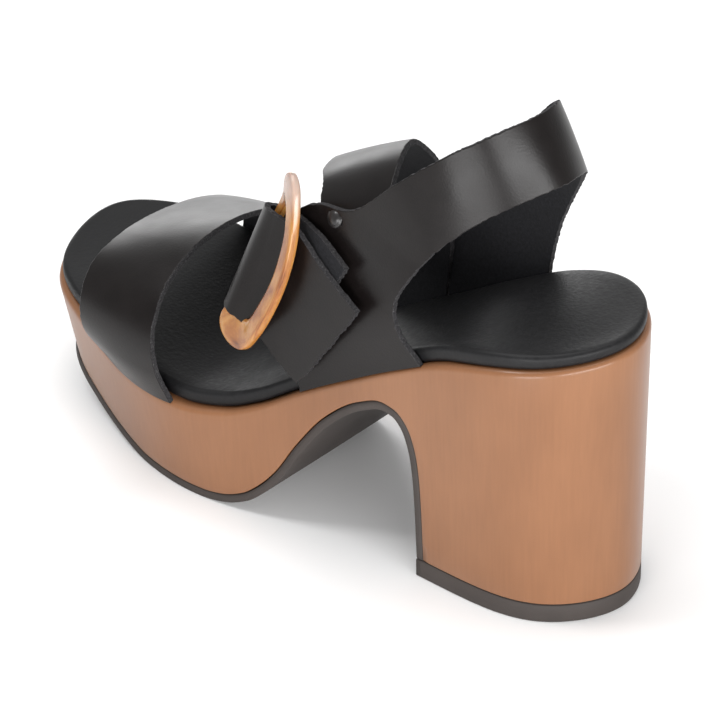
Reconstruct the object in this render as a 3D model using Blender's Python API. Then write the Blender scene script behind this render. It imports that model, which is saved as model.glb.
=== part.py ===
"""Heeled platform sandal, left shoe.

A block heel and platform in one wood-look unit, a rubber outsole and heel lift below it, a padded
insole above it, a toe band, a slingback with an instep strap, and a buckle on the outer side.
The toe points to -Y, the outer side of the foot to +X, and the floor is z = 0.
Every size below is in millimetres along the shoe's own directions:
s runs from the back of the heel to the toe, w from the middle to the outer side, z up.
"""
import math
from collections import namedtuple

import bmesh
import bpy
import numpy as np
from mathutils import Vector

MM = 0.001

# Driving sizes
SOLE_LENGTH = 236.0
ORIGIN_S = SOLE_LENGTH / 2
ORIGIN_W = 3.45
OUTSOLE_THICK = 2.7
LIFT_THICK = 6.4
INSOLE_THICK = 5.4
STRAP_THICK = 2.0
SEAT_GAP = 0.3
STRAP_SEAT = 0.45

# How the wall of the platform draws in from its top edge to its foot
HEEL_DRAW = 2.8
TOE_DRAW = 6.0
SIDE_DRAW = 0.92
SHOULDER = 1.2
FOOT_ROUND = 0.6

# The ring of platform left around the insole, where the straps go down
STRAP_LEDGE = 2.7
INSOLE_ROUND = 2.4
INSOLE_CUP = 1.2

# How far the first and last sections stop short of a sharp end
END_CLEAR = 0.1

BREAST_S = 57.5
ARCH_S = 70.0

OutlinePoint = namedtuple("OutlinePoint", "place s w")
OUTLINE = (
    OutlinePoint("heel back", 0.0, 0.0),
    OutlinePoint("heel back outer", 9.2, 21.0),
    OutlinePoint("heel outer", 31.0, 31.5),
    OutlinePoint("waist outer", 95.0, 33.7),
    OutlinePoint("ball outer", 152.0, 45.4),
    OutlinePoint("toes outer", 205.0, 31.0),
    OutlinePoint("toe tip outer", 227.0, 15.8),
    OutlinePoint("toe tip", SOLE_LENGTH, -6.0),
    OutlinePoint("toe tip inner", 228.0, -26.4),
    OutlinePoint("toes inner", 208.0, -38.6),
    OutlinePoint("ball inner", 169.0, -39.8),
    OutlinePoint("waist inner", 100.0, -26.2),
    OutlinePoint("heel inner", 31.0, -31.4),
    OutlinePoint("heel back inner", 9.2, -20.8),
)

Height = namedtuple("Height", "s z")
# Top edge of the platform, from the heel seat down the arch to the toe
TOP_LINE = (
    Height(0.0, 93.8), Height(25.0, 91.0), Height(46.0, 85.6), Height(66.0, 75.5),
    Height(86.0, 63.6), Height(104.0, 52.6), Height(121.0, 41.6), Height(132.0, 37.0),
    Height(148.0, 34.4), Height(180.0, 35.6), Height(214.0, 40.0), Height(SOLE_LENGTH, 45.0),
)
# Underside of the wood, up the heel breast, over the arch and down to the tread
UNDER_LINE = (
    Height(57.5, 7.0), Height(57.7, 24.0), Height(58.2, 37.0), Height(59.6, 47.5), Height(63.0, 56.0),
    Height(67.5, 59.8), Height(72.5, 60.6), Height(82.0, 56.8), Height(95.0, 46.2), Height(106.0, 31.4),
    Height(113.0, 19.8), Height(119.0, 12.4), Height(126.0, 6.6), Height(134.0, 3.7), Height(141.0, 3.0),
    Height(166.0, 3.0), Height(180.0, 4.8), Height(203.0, 10.4), Height(SOLE_LENGTH, 24.0),
)

StrapRow = namedtuple("StrapRow", "back_s back_w back_z front_s front_w front_z")
# Toe band, from the outer edge of the sole over the toes to the inner edge
TOE_BAND = (
    StrapRow(150.0, 44.0, 34.6, 181.0, 41.0, 35.8),
    StrapRow(152.5, 48.4, 46.0, 183.0, 45.6, 47.0),
    StrapRow(154.0, 48.2, 58.5, 185.0, 45.4, 58.0),
    StrapRow(156.0, 41.0, 69.5, 187.0, 38.0, 66.0),
    StrapRow(159.0, 25.0, 76.0, 190.0, 22.0, 68.0),
    StrapRow(162.0, 4.0, 76.0, 193.0, 1.0, 66.0),
    StrapRow(164.0, -18.0, 70.0, 195.0, -21.0, 60.5),
    StrapRow(165.0, -34.0, 59.0, 196.0, -35.5, 53.0),
    StrapRow(165.5, -40.5, 46.0, 196.5, -40.6, 45.0),
    StrapRow(165.5, -38.0, 35.2, 196.5, -39.4, 37.4),
)
# Slingback, from the outer waist up and round the heel to the inner waist
SLINGBACK = (
    StrapRow(56.6, 32.2, 81.0, 104.0, 32.8, 52.9),
    StrapRow(64.0, 33.0, 90.0, 103.0, 33.8, 76.0),
    StrapRow(65.6, 32.6, 99.0, 97.0, 32.4, 102.0),
    StrapRow(61.0, 31.4, 109.5, 87.5, 29.8, 121.5),
    StrapRow(51.8, 28.5, 122.7, 66.8, 28.6, 141.0),
    StrapRow(41.2, 23.0, 133.6, 50.0, 24.4, 155.0),
    StrapRow(31.4, 13.0, 140.6, 38.0, 15.0, 163.6),
    StrapRow(26.6, 0.0, 142.6, 33.6, 0.0, 165.2),
    StrapRow(30.0, -12.5, 139.4, 38.0, -13.5, 162.0),
    StrapRow(37.6, -22.0, 130.4, 49.0, -22.0, 152.0),
    StrapRow(46.0, -27.4, 117.0, 63.0, -26.2, 135.0),
    StrapRow(52.4, -29.4, 104.0, 75.0, -28.0, 115.0),
    StrapRow(55.6, -30.4, 92.0, 82.0, -28.2, 94.0),
    StrapRow(56.0, -30.0, 81.4, 84.0, -26.0, 65.0),
)
# Instep strap, from inside the outer quarter over the instep to the inner waist
INSTEP_STRAP = (
    StrapRow(79.0, 31.4, 92.0, 104.0, 32.2, 76.0),
    StrapRow(81.5, 30.6, 105.0, 110.0, 31.0, 92.0),
    StrapRow(85.5, 26.0, 118.0, 120.0, 26.6, 101.0),
    StrapRow(90.0, 14.0, 127.5, 128.0, 14.6, 107.0),
    StrapRow(92.0, -3.0, 128.5, 132.0, -3.0, 106.0),
    StrapRow(92.0, -17.0, 119.0, 134.0, -18.0, 97.0),
    StrapRow(91.0, -25.5, 103.0, 134.5, -28.0, 80.0),
    StrapRow(90.0, -28.0, 82.0, 134.0, -32.0, 58.0),
    StrapRow(89.0, -25.4, 62.0, 133.0, -30.0, 37.0),
)
# Closure, from the outer quarter forward, round the buckle's bar and back down as the cut end
CLOSURE = (
    StrapRow(92.0, 31.8, 103.0, 102.0, 33.4, 66.0),
    StrapRow(107.0, 28.2, 109.5, 116.0, 35.2, 71.0),
    StrapRow(116.2, 25.4, 110.6, 124.8, 33.5, 73.6),
    StrapRow(122.6, 29.6, 112.4, 131.6, 39.6, 75.8),
    StrapRow(116.8, 33.6, 113.6, 126.2, 43.9, 75.6),
    StrapRow(105.4, 33.4, 113.0, 117.0, 38.8, 69.6),
    StrapRow(93.0, 35.4, 106.0, 109.0, 37.6, 62.6),
    StrapRow(77.4, 36.0, 94.0, 101.2, 36.2, 57.8),
)

FramePoint = namedtuple("FramePoint", "s w z wide")
# Middle line of the buckle's frame, up its straight bar and down its bowed bar
BUCKLE_LINE = (
    FramePoint(127.3, 40.3, 71.0, 3.8), FramePoint(124.1, 36.3, 85.0, 3.2), FramePoint(121.0, 32.8, 99.0, 3.4),
    FramePoint(117.2, 29.4, 112.2, 3.6), FramePoint(113.4, 28.6, 123.4, 4.6), FramePoint(106.2, 33.2, 123.0, 4.9),
    FramePoint(103.0, 38.4, 111.0, 5.0), FramePoint(106.4, 42.4, 91.6, 5.0), FramePoint(113.2, 44.4, 75.0, 5.2),
    FramePoint(121.6, 44.0, 66.6, 5.4), FramePoint(127.0, 42.6, 66.4, 5.2),
)
BUCKLE_THICK = 3.4
BUCKLE_SIDES = 10

# Base colours
WOOD = (0.42, 0.20, 0.10)
RUBBER = (0.045, 0.036, 0.033)
LEATHER = (0.016, 0.015, 0.016)
HORN = (0.62, 0.33, 0.14)


def clear_scene():
    for item in list(bpy.data.objects):
        bpy.data.objects.remove(item, do_unlink=True)


def world(s, w, z):
    return Vector(((w - ORIGIN_W) * MM, (ORIGIN_S - s) * MM, z * MM))


def smooth_steps(rows):
    """A curve through a table of heights that never overshoots between its rows."""
    x = np.array([row.s for row in rows])
    y = np.array([row.z for row in rows])
    step = np.diff(x)
    slope = np.diff(y) / step
    tangent = np.zeros_like(y)
    tangent[0] = slope[0]
    tangent[-1] = slope[-1]
    for i in range(1, len(x) - 1):
        if slope[i - 1] * slope[i] > 0:
            left = 2 * step[i] + step[i - 1]
            right = step[i] + 2 * step[i - 1]
            tangent[i] = (left + right) / (left / slope[i - 1] + right / slope[i])

    def height(s):
        s = min(max(s, x[0]), x[-1])
        i = min(int(np.searchsorted(x, s, side="right")) - 1, len(step) - 1)
        t = (s - x[i]) / step[i]
        rise = (1 + 2 * t) * (1 - t) ** 2 * y[i] + t * (1 - t) ** 2 * step[i] * tangent[i]
        fall = t * t * (3 - 2 * t) * y[i + 1] + t * t * (t - 1) * step[i] * tangent[i + 1]
        return rise + fall

    return height


def spline(points, per_span):
    """An open centripetal Catmull-Rom curve through the points, as an array of places."""
    points = np.array(points, dtype=float)
    run = np.vstack([2 * points[0] - points[1], points, 2 * points[-1] - points[-2]])
    curve = []
    for i in range(len(points) - 1):
        a, b, c, d = run[i:i + 4]
        t0 = 0.0
        t1 = t0 + math.sqrt(np.linalg.norm(b - a))
        t2 = t1 + math.sqrt(np.linalg.norm(c - b))
        t3 = t2 + math.sqrt(np.linalg.norm(d - c))
        for t in np.linspace(t1, t2, per_span, endpoint=False):
            ab = ((t1 - t) * a + (t - t0) * b) / (t1 - t0)
            bc = ((t2 - t) * b + (t - t1) * c) / (t2 - t1)
            cd = ((t3 - t) * c + (t - t2) * d) / (t3 - t2)
            abc = ((t2 - t) * ab + (t - t0) * bc) / (t2 - t0)
            bcd = ((t3 - t) * bc + (t - t1) * cd) / (t3 - t1)
            curve.append(((t2 - t) * abc + (t - t1) * bcd) / (t2 - t1))
    curve.append(points[-1])
    return np.array(curve)


def round_curve(points, per_span):
    """A closed cubic curve through the points, with no corner or change of bend anywhere."""
    points = np.array(points, dtype=float)
    count = len(points)
    ahead = np.roll(points, -1, axis=0)
    span = np.sqrt(np.linalg.norm(ahead - points, axis=1))
    rise = (ahead - points) / span[:, None]
    system = np.zeros((count, count))
    for i in range(count):
        system[i, i - 1] += span[i - 1]
        system[i, i] += 2 * (span[i - 1] + span[i])
        system[i, (i + 1) % count] += span[i]
    bend = np.linalg.solve(system, 6 * (rise - np.roll(rise, 1, axis=0)))
    curve = []
    for i in range(count):
        j = (i + 1) % count
        h = span[i]
        for t in np.linspace(0.0, h, per_span, endpoint=False):
            line = points[i] * (1 - t / h) + points[j] * (t / h)
            bow = ((h - t) ** 3 / h - h * (h - t)) * bend[i] + (t ** 3 / h - h * t) * bend[j]
            curve.append(line + bow / 6)
    return np.array(curve)


def sole_edges():
    """The outer and inner edge of the sole in plan, each as w for a given s."""
    ring = round_curve([(p.s, p.w) for p in OUTLINE], 40)
    tip = int(np.argmax(ring[:, 0]))
    outer = ring[:tip + 1]
    inner = np.vstack([ring[tip:], ring[:1]])[::-1]

    def side(chain):
        s = np.maximum.accumulate(chain[:, 0])
        return lambda at: float(np.interp(at, s, chain[:, 1]))

    return side(outer), side(inner), float(ring[tip, 0])


top_height = smooth_steps(TOP_LINE)
under_height = smooth_steps(UNDER_LINE)
outer_edge, inner_edge, TIP_S = sole_edges()


def top_station(s):
    """Where a station at the foot of the drawn-in wall lies along the top edge."""
    return (s - HEEL_DRAW) / (TIP_S - HEEL_DRAW - TOE_DRAW) * TIP_S


def foot_edges(s):
    at = top_station(s)
    middle = (outer_edge(at) + inner_edge(at)) / 2
    return (middle + (outer_edge(at) - middle) * SIDE_DRAW, middle + (inner_edge(at) - middle) * SIDE_DRAW)


def end_spaced(start, stop, count):
    """Stations that crowd towards both ends, so that round ends stay round."""
    turn = np.linspace(0.0, math.pi, count)
    return start + (stop - start) * (1 - np.cos(turn)) / 2


def new_object(name, mesh_source, colour, roughness):
    bmesh.ops.remove_doubles(mesh_source, verts=mesh_source.verts, dist=1e-7)
    bmesh.ops.recalc_face_normals(mesh_source, faces=mesh_source.faces)
    mesh = bpy.data.meshes.new(name)
    mesh_source.to_mesh(mesh)
    mesh_source.free()
    mesh.shade_smooth()
    mesh.set_sharp_from_angle(angle=math.radians(35))
    item = bpy.data.objects.new(name, mesh)
    bpy.context.scene.collection.objects.link(item)
    finish = bpy.data.materials.new(name + "_finish")
    finish.use_nodes = True
    shader = finish.node_tree.nodes["Principled BSDF"]
    shader.inputs["Base Color"].default_value = (*colour, 1.0)
    shader.inputs["Roughness"].default_value = roughness
    shader.inputs["Metallic"].default_value = 0.0
    mesh.materials.append(finish)
    return item


def loft(rings):
    """Closed solid through rings of places, whose ends are laddered across from side to side."""
    build = bmesh.new()
    loops = [[build.verts.new(world(*place)) for place in ring] for ring in rings]
    size = len(loops[0])
    for near, far in zip(loops, loops[1:]):
        for i in range(size):
            j = (i + 1) % size
            build.faces.new((near[i], near[j], far[j], far[i]))
    for loop in (loops[0], loops[-1]):
        for i in range(size // 2 - 1):
            build.faces.new((loop[i], loop[i + 1], loop[size - 2 - i], loop[size - 1 - i]))
    return build


def platform_ring(foot_s):
    """One section of the platform, down its outer wall, under it and up its inner wall."""
    s = top_station(foot_s)
    under = under_height(foot_s) if foot_s >= BREAST_S else LIFT_THICK + SEAT_GAP
    top = top_height(s)
    foot_outer, foot_inner = foot_edges(foot_s)
    middle = (outer_edge(s) + inner_edge(s)) / 2

    def wall(edge, foot):
        reach = abs(edge - middle)
        side = 1 if edge > middle else -1
        shoulder = min(SHOULDER, reach / 2)
        low_round = min(FOOT_ROUND, reach / 2)
        belly = 0.12 * (foot - edge)
        half_s = (s + foot_s) / 2
        return [
            (s, middle + (edge - middle) * 0.45, top),
            (s, edge - side * shoulder, top),
            (s, edge - side * shoulder * 0.3, top - SHOULDER * 0.3),
            (s, edge, top - SHOULDER),
            (half_s, (edge + foot) / 2 - belly, (top + under) / 2),
            (foot_s, foot, under + FOOT_ROUND),
            (foot_s, foot - side * low_round, under),
            (foot_s, middle + (foot - middle) * 0.4, under),
        ]

    return wall(outer_edge(s), foot_outer) + wall(inner_edge(s), foot_inner)[::-1]


def fore_stations():
    """Stations from the arch to the toe, crowded towards the round toe."""
    tread_end = TIP_S - TOE_DRAW
    fore = end_spaced(2 * ARCH_S - tread_end, tread_end, 75)[37:]
    fore[-1] -= END_CLEAR
    return list(fore)


def make_platform():
    heel = end_spaced(HEEL_DRAW, 2 * BREAST_S - HEEL_DRAW, 29)[:15]
    heel[0] += END_CLEAR
    breast = [row.s for row in UNDER_LINE if BREAST_S < row.s < ARCH_S]
    stations = list(heel) + breast + fore_stations()
    return new_object("platform_heel", loft([platform_ring(s) for s in stations]), WOOD, 0.42)


def tread_path():
    """The line of the wood's underside in side view, with the direction straight away from it."""
    stations = [row.s for row in UNDER_LINE if row.s < ARCH_S]
    line = np.array([(s, under_height(s)) for s in stations + fore_stations()])
    run = np.gradient(line, axis=0)
    run /= np.linalg.norm(run, axis=1)[:, None]
    away = np.stack([run[:, 1], -run[:, 0]], axis=1)
    away[0] = (1.0, 0.0)
    return line, away


def make_outsole():
    line, away = tread_path()
    rings = []
    for (s, z), (out_s, out_z) in zip(line, away):
        outer, inner = foot_edges(s)
        middle = (outer + inner) / 2
        near = (s + out_s * SEAT_GAP, z + out_z * SEAT_GAP)
        far = (s + out_s * (SEAT_GAP + OUTSOLE_THICK), max(0.0, z + out_z * (SEAT_GAP + OUTSOLE_THICK)))
        ring = []
        for edge in (outer, inner):
            side = [(near[0], middle + (edge - middle) * 0.4, near[1]), (near[0], edge, near[1]),
                    (far[0], edge, far[1]), (far[0], middle + (edge - middle) * 0.4, far[1])]
            ring += side if edge == outer else side[::-1]
        rings.append(ring)
    return new_object("outsole", loft(rings), RUBBER, 0.62)


def make_heel_lift():
    front = BREAST_S + SEAT_GAP + OUTSOLE_THICK
    stations = list(end_spaced(HEEL_DRAW, 2 * front - HEEL_DRAW, 33)[:17])
    stations[0] += END_CLEAR
    rings = []
    for s in stations:
        outer, inner = foot_edges(s)
        middle = (outer + inner) / 2
        ring = []
        for edge in (outer, inner):
            side = [(s, middle + (edge - middle) * 0.5, LIFT_THICK), (s, edge, LIFT_THICK),
                    (s, edge, FOOT_ROUND), (s, middle + (edge - middle) * 0.98, 0.0),
                    (s, middle + (edge - middle) * 0.5, 0.0)]
            ring += side if edge == outer else side[::-1]
        rings.append(ring)
    return new_object("heel_lift", loft(rings), RUBBER, 0.62)


def insole_edges(s):
    """Edges of the insole, a strap's ledge inside the platform's own edges all the way round."""
    reach = s * (TIP_S - 2 * STRAP_LEDGE) / TIP_S + STRAP_LEDGE
    at = (reach - STRAP_LEDGE) / (TIP_S - 2 * STRAP_LEDGE) * TIP_S
    outer = outer_edge(at)
    inner = inner_edge(at)
    middle = (outer + inner) / 2
    wide = (outer - inner) / 2
    keep = max(0.0, wide - STRAP_LEDGE * min(1.0, wide / 12.0)) / max(wide, 1e-6)
    return reach, middle + (outer - middle) * keep, middle + (inner - middle) * keep


def make_insole():
    stations = end_spaced(0.0, TIP_S, 49)
    stations[0] += END_CLEAR
    stations[-1] -= END_CLEAR
    rings = []
    for station in stations:
        s, outer, inner = insole_edges(station)
        base = top_height(s) + SEAT_GAP
        top = base + INSOLE_THICK
        middle = (outer + inner) / 2
        cup = INSOLE_CUP * min(1.0, (outer - inner) / 50.0)
        ring = []
        for edge in (outer, inner):
            reach = edge - middle
            rounding = math.copysign(min(INSOLE_ROUND, abs(reach) / 2), reach)
            side = [(s, middle + reach * 0.35, top - cup), (s, middle + (reach - rounding) * 0.85, top - cup * 0.25),
                    (s, edge - rounding, top), (s, edge - rounding * 0.3, top - INSOLE_ROUND * 0.3),
                    (s, edge, top - INSOLE_ROUND), (s, edge, base + 0.6),
                    (s, edge - rounding * 0.25, base), (s, middle + reach * 0.35, base)]
            ring += side if edge == outer else side[::-1]
        rings.append(ring)
    return new_object("insole", loft(rings), LEATHER, 0.45)


def ledge_place(s, outer_side):
    """Middle of a strap's foot on the ledge between the insole and the platform's edge."""
    edge = outer_edge(s) if outer_side else inner_edge(s)
    inward = -1 if outer_side else 1
    return np.array((s, edge + inward * STRAP_LEDGE / 2, top_height(s) + STRAP_SEAT))


def strap_sheet(rows, per_span, across, belly, seated_start=None, seated_end=None, fade=0.22):
    """Middle surface of a strap: its back and front edges as curves, set down on the ledge at its ends."""
    back = spline([row[0:3] for row in rows], per_span)
    front = spline([row[3:6] for row in rows], per_span)
    count = len(back)
    share = np.linspace(0.0, 1.0, across + 1)
    sheet = back[:, None, :] * (1 - share)[None, :, None] + front[:, None, :] * share[None, :, None]
    for end, outer_side in ((0, seated_start), (count - 1, seated_end)):
        if outer_side is None:
            continue
        shift = np.array([ledge_place(p[0], outer_side) - p for p in sheet[end]])
        for i in range(count):
            away = abs(i - end) / (count - 1) / fade
            if away < 1.0:
                sheet[i] += shift * (1 - away * away * (3 - 2 * away))
    along = np.gradient(sheet, axis=0)
    over = np.gradient(sheet, axis=1)
    normal = np.cross(along, over)
    normal /= np.linalg.norm(normal, axis=2)[:, :, None]
    crown = 4 * share * (1 - share) * belly
    return sheet + normal * crown[None, :, None], normal


def strap_solid(sheet, normal):
    """Leather of even thickness about the middle surface."""
    build = bmesh.new()
    rows, columns = sheet.shape[:2]
    skins = []
    for side in (0.5, -0.5):
        skin = sheet + normal * STRAP_THICK * side
        skins.append([[build.verts.new(world(*place)) for place in row] for row in skin])
    for skin in skins:
        for i in range(rows - 1):
            for j in range(columns - 1):
                build.faces.new((skin[i][j], skin[i][j + 1], skin[i + 1][j + 1], skin[i + 1][j]))
    rim = [(i, 0) for i in range(rows)] + [(rows - 1, j) for j in range(1, columns)]
    rim += [(i, columns - 1) for i in range(rows - 2, -1, -1)] + [(0, j) for j in range(columns - 2, 0, -1)]
    for (i, j), (k, m) in zip(rim, rim[1:] + rim[:1]):
        build.faces.new((skins[0][i][j], skins[0][k][m], skins[1][k][m], skins[1][i][j]))
    return build


def make_toe_band():
    sheet = strap_sheet(TOE_BAND, 4, 5, belly=0.8, seated_start=True, seated_end=False)
    return new_object("toe_band", strap_solid(*sheet), LEATHER, 0.4)


def hide_cutter(item):
    item.hide_render = True
    item.display_type = "WIRE"


def make_upper():
    """Slingback, instep strap and closure, joined where they cross."""
    sling = strap_sheet(SLINGBACK, 4, 5, belly=0.3, seated_start=True, seated_end=False, fade=0.12)
    upper = new_object("strap_upper", strap_solid(*sling), LEATHER, 0.4)
    instep = strap_sheet(INSTEP_STRAP, 4, 5, belly=0.5, seated_end=False, fade=0.2)
    closure = strap_sheet(CLOSURE, 4, 4, belly=0.0)
    for name, sheet in (("instep_guide", instep), ("closure_guide", closure)):
        guide = new_object(name, strap_solid(*sheet), LEATHER, 0.4)
        hide_cutter(guide)
        join = upper.modifiers.new(name, "BOOLEAN")
        join.operation = "UNION"
        join.solver = "EXACT"
        join.object = guide
    return upper


def make_buckle():
    path = round_curve(BUCKLE_LINE, 6)
    line = path[:, :3]
    centre = line.mean(axis=0)
    build = bmesh.new()
    loops = []
    count = len(line)
    flat = np.linalg.svd(line - centre)[2][2]
    if flat[1] < 0:
        flat = -flat
    for i in range(count):
        run = line[(i + 1) % count] - line[i - 1]
        run /= np.linalg.norm(run)
        thick = flat - run * np.dot(flat, run)
        thick /= np.linalg.norm(thick)
        wide = np.cross(run, thick)
        loop = []
        for k in range(BUCKLE_SIDES):
            turn = 2 * math.pi * k / BUCKLE_SIDES
            across = math.copysign(abs(math.cos(turn)) ** 0.7, math.cos(turn)) * path[i, 3] / 2
            up = math.copysign(abs(math.sin(turn)) ** 0.7, math.sin(turn)) * BUCKLE_THICK / 2
            loop.append(build.verts.new(world(*(line[i] + wide * across + thick * up))))
        loops.append(loop)
    for i in range(count):
        near, far = loops[i], loops[(i + 1) % count]
        for k in range(BUCKLE_SIDES):
            m = (k + 1) % BUCKLE_SIDES
            build.faces.new((near[k], near[m], far[m], far[k]))
    return new_object("buckle", build, HORN, 0.25)


def main():
    clear_scene()
    make_platform()
    make_outsole()
    make_heel_lift()
    make_insole()
    make_toe_band()
    make_upper()
    make_buckle()


main()
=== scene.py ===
# %% [markdown]
# A platform sandal with a block heel
#
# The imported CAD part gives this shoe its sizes. Here it is dressed: every solid is replaced by a
# finer piece of the same shape, cut from leather, wood-look plastic, rubber or resin, and each
# piece gets a finish made from nodes. It is a left shoe, so its buckle sits on +X.

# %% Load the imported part
import math
from collections import namedtuple

import bmesh
import bpy
import numpy as np
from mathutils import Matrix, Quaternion, Vector, noise


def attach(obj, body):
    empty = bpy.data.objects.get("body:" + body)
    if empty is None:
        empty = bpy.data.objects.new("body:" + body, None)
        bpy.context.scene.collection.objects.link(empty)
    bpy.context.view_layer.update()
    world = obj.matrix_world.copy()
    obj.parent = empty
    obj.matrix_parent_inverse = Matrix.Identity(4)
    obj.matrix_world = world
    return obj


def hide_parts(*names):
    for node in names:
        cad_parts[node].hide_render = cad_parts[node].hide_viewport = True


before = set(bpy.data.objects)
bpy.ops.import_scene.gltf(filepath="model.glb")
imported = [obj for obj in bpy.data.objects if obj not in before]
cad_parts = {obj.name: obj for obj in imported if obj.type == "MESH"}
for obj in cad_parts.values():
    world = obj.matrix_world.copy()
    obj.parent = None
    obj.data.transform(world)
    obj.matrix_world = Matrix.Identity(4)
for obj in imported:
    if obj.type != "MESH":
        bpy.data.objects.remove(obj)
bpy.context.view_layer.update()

# %% [markdown]
# The shoemaker's directions
#
# A shoe is drawn along its own length. So each place below is three numbers in millimetres: s from
# the back of the heel to the toe, w from the middle line to the outer side, and z up from the floor.
# One function turns them into Blender's metres, so that nothing has to be moved afterwards.

# %% Places on the shoe
MM = 0.001
SOLE_LENGTH = 236.0
MIDDLE_S = SOLE_LENGTH / 2
MIDDLE_W = 3.45


def shoe(s, w, z):
    return Vector(((w - MIDDLE_W) * MM, (MIDDLE_S - s) * MM, z * MM))


print("toe tip at", tuple(round(x, 4) for x in shoe(SOLE_LENGTH, 0.0, 40.0)))

# %% [markdown]
# Camera
#
# The photograph looks down on the outer side from behind the heel. Its angle, distance and lens were
# worked out by matching the edges of the sole. The lens here is longer by FRAME_ZOOM, so that the shoe
# fills the frame, and the perspective stays the same because the camera stays where it was.

# %% Camera at the photograph's angle
VIEW_TURN = math.radians(132.12)
VIEW_RISE = math.radians(33.18)
VIEW_ROLL = math.radians(-0.8)
VIEW_DISTANCE = 1.667
PHOTO_LENS = 164.2
FRAME_ZOOM = 1.6
AIM = shoe(120.0, 0.0, 50.0)
AIM_RIGHT = 7.5 * MM
AIM_DOWN = 8.2 * MM

away = Vector((math.sin(VIEW_TURN) * math.cos(VIEW_RISE),
               -math.cos(VIEW_TURN) * math.cos(VIEW_RISE), math.sin(VIEW_RISE)))
facing = (-away).to_track_quat("-Z", "Y")
camera_data = bpy.data.cameras.new("camera")
camera_data.sensor_width = 36.0
camera_data.lens = PHOTO_LENS * FRAME_ZOOM
camera = bpy.data.objects.new("camera", camera_data)
bpy.context.scene.collection.objects.link(camera)
camera.rotation_mode = "QUATERNION"
camera.rotation_quaternion = facing @ Quaternion((0.0, 0.0, 1.0), VIEW_ROLL)
camera.location = (AIM + away * VIEW_DISTANCE + facing @ Vector((AIM_RIGHT, -AIM_DOWN, 0.0)))
bpy.context.scene.camera = camera
print("camera at", tuple(round(x, 3) for x in camera.location))

# %% [markdown]
# Curves through a few points
#
# Three kinds of line draw the whole shoe. Heights along the sole need a curve that never swings past
# its points. The outline of the sole is a closed curve with no corner. The edge of a strap is an open
# curve that follows its points closely.

# %% A height line that never overshoots
Height = namedtuple("Height", "s z")


def height_line(rows):
    x = np.array([row.s for row in rows])
    y = np.array([row.z for row in rows])
    step = np.diff(x)
    slope = np.diff(y) / step
    tangent = np.zeros_like(y)
    tangent[0] = slope[0]
    tangent[-1] = slope[-1]
    for i in range(1, len(x) - 1):
        if slope[i - 1] * slope[i] > 0:
            left = 2 * step[i] + step[i - 1]
            right = step[i] + 2 * step[i - 1]
            tangent[i] = (left + right) / (left / slope[i - 1] + right / slope[i])

    def height(s):
        s = min(max(s, x[0]), x[-1])
        i = min(int(np.searchsorted(x, s, side="right")) - 1, len(step) - 1)
        t = (s - x[i]) / step[i]
        rise = (1 + 2 * t) * (1 - t) ** 2 * y[i] + t * (1 - t) ** 2 * step[i] * tangent[i]
        fall = t * t * (3 - 2 * t) * y[i + 1] + t * t * (t - 1) * step[i] * tangent[i + 1]
        return rise + fall

    return height


# %% A closed curve with no corner
def round_curve(points, per_span):
    points = np.array(points, dtype=float)
    count = len(points)
    ahead = np.roll(points, -1, axis=0)
    span = np.sqrt(np.linalg.norm(ahead - points, axis=1))
    rise = (ahead - points) / span[:, None]
    system = np.zeros((count, count))
    for i in range(count):
        system[i, i - 1] += span[i - 1]
        system[i, i] += 2 * (span[i - 1] + span[i])
        system[i, (i + 1) % count] += span[i]
    bend = np.linalg.solve(system, 6 * (rise - np.roll(rise, 1, axis=0)))
    curve = []
    for i in range(count):
        j = (i + 1) % count
        h = span[i]
        for t in np.linspace(0.0, h, per_span, endpoint=False):
            line = points[i] * (1 - t / h) + points[j] * (t / h)
            bow = ((h - t) ** 3 / h - h * (h - t)) * bend[i] + (t ** 3 / h - h * t) * bend[j]
            curve.append(line + bow / 6)
    return np.array(curve)


# %% An open curve for the edge of a strap
def edge_curve(points, per_span):
    points = np.array(points, dtype=float)
    run = np.vstack([2 * points[0] - points[1], points, 2 * points[-1] - points[-2]])
    curve = []
    for i in range(len(points) - 1):
        a, b, c, d = run[i:i + 4]
        t1 = math.sqrt(np.linalg.norm(b - a))
        t2 = t1 + math.sqrt(np.linalg.norm(c - b))
        t3 = t2 + math.sqrt(np.linalg.norm(d - c))
        for t in np.linspace(t1, t2, per_span, endpoint=False):
            ab = ((t1 - t) * a + t * b) / t1
            bc = ((t2 - t) * b + (t - t1) * c) / (t2 - t1)
            cd = ((t3 - t) * c + (t - t2) * d) / (t3 - t2)
            abc = ((t2 - t) * ab + t * bc) / t2
            bcd = ((t3 - t) * bc + (t - t1) * cd) / (t3 - t1)
            curve.append(((t2 - t) * abc + (t - t1) * bcd) / (t2 - t1))
    curve.append(points[-1])
    return np.array(curve)


# %% [markdown]
# The last: outline, top edge and underside
#
# A shoemaker starts from a last and a sole pattern. The pattern is the outline seen from above; two
# side lines give the height of the platform's top edge and of its underside, which climbs the breast
# of the heel, crosses the arch and comes down to the tread.

# %% Outline of the sole
OutlinePoint = namedtuple("OutlinePoint", "place s w")
OUTLINE = (
    OutlinePoint("heel back", 0.0, 0.0),
    OutlinePoint("heel back outer", 9.2, 21.0),
    OutlinePoint("heel outer", 31.0, 31.5),
    OutlinePoint("waist outer", 95.0, 33.7),
    OutlinePoint("ball outer", 152.0, 45.4),
    OutlinePoint("toes outer", 205.0, 31.0),
    OutlinePoint("toe tip outer", 225.8, 17.6),
    OutlinePoint("toe tip", SOLE_LENGTH - 0.6, -11.6),
    OutlinePoint("toe tip inner", 228.6, -27.2),
    OutlinePoint("toes inner", 208.0, -38.8),
    OutlinePoint("ball inner", 169.0, -39.8),
    OutlinePoint("waist inner", 100.0, -26.2),
    OutlinePoint("heel inner", 31.0, -31.4),
    OutlinePoint("heel back inner", 9.2, -20.8),
)
print("outline through", len(OUTLINE), "places")

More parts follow.
